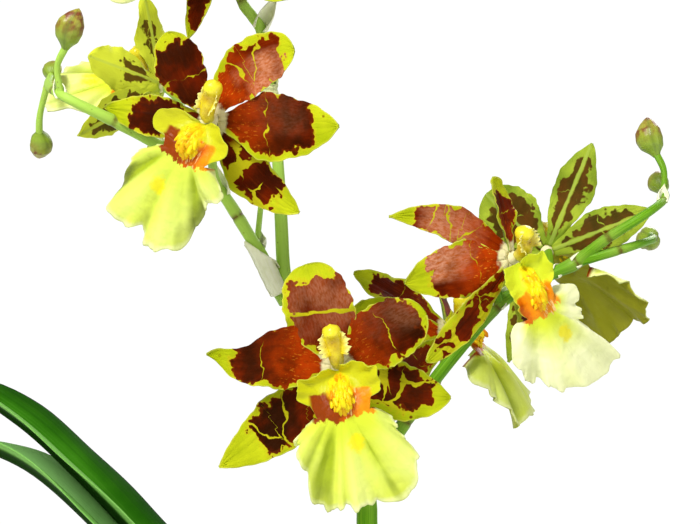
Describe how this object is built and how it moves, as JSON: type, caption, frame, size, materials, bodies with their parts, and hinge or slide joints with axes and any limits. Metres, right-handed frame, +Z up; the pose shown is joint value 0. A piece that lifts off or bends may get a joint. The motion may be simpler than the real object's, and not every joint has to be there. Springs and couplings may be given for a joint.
{
  "type": "potted oncidium orchid in flower",
  "caption": "Flowering oncidium orchid: arching branched spike of brown and yellow blooms, ridged pseudobulbs and strap leaves in a plain clay pot.",
  "frame": {"origin": "centre of the underside of the pot's foot", "axes": "+Z up along the pot's axis and the spike, +X to the viewer's right, -Y towards the viewer, the way the front blooms face"},
  "size_m": [0.3771, 0.3649, 0.6111],
  "materials": {
    "clay": "unglazed terracotta, matt and slightly chalky, with faint throwing lines",
    "bark": "rough dark orchid bark chips",
    "root": "pale grey-green velamen of the roots and brownish rhizome",
    "bulb": "smooth green pseudobulb with shallow ridges and papery edges",
    "leaf": "leathery leaf, dark green, satin, fine parallel veins",
    "stem": "smooth green stem, yellowish and brown-tinged at the joints",
    "sheath": "dry papery straw-coloured sheath",
    "tepal": "waxy petal, mahogany brown blotches on lime yellow, yellow margins",
    "lip": "thin waxy lime-yellow lip, warty golden crest, brown-orange throat",
    "column": "waxy golden yellow column with a rounded cap and fringed wings"
  },
  "bodies": {
    "root": {"pot": "clay", "bark_medium": "bark", "rhizome_roots": "root", "pseudobulb_1": "bulb", "pseudobulb_2": "bulb", "pseudobulb_3": "bulb", "pseudobulb_4": "bulb", "pseudobulb_5": "bulb", "leaf_1": "leaf", "leaf_2": "leaf", "leaf_3": "leaf", "leaf_4": "leaf", "leaf_5": "leaf", "leaf_6": "leaf", "leaf_7": "leaf", "leaf_8": "leaf", "leaf_9": "leaf", "flower_spike": "stem", "sheath_1": "sheath", "sheath_2": "sheath", "sheath_3": "sheath", "sheath_4": "sheath", "sheath_5": "sheath", "bloom_centre_tepals": "tepal", "bloom_centre_lip": "lip", "bloom_centre_column": "column", "bloom_upper_left_tepals": "tepal", "bloom_upper_left_lip": "lip", "bloom_upper_left_column": "column", "bloom_right_tepals": "tepal", "bloom_right_lip": "lip", "bloom_right_column": "column", "bloom_right_back_tepals": "tepal", "bloom_right_back_lip": "lip", "bloom_right_back_column": "column", "bloom_centre_back_tepals": "tepal", "bloom_centre_back_lip": "lip", "bloom_centre_back_column": "column", "bloom_left_back_tepals": "tepal", "bloom_left_back_lip": "lip", "bloom_left_back_column": "column", "bloom_top_front_tepals": "tepal", "bloom_top_front_lip": "lip", "bloom_top_front_column": "column", "bloom_top_right_tepals": "tepal", "bloom_top_right_lip": "lip", "bloom_top_right_column": "column", "bloom_top_left_tepals": "tepal", "bloom_top_left_lip": "lip", "bloom_top_left_column": "column"}
  },
  "joints": []
}
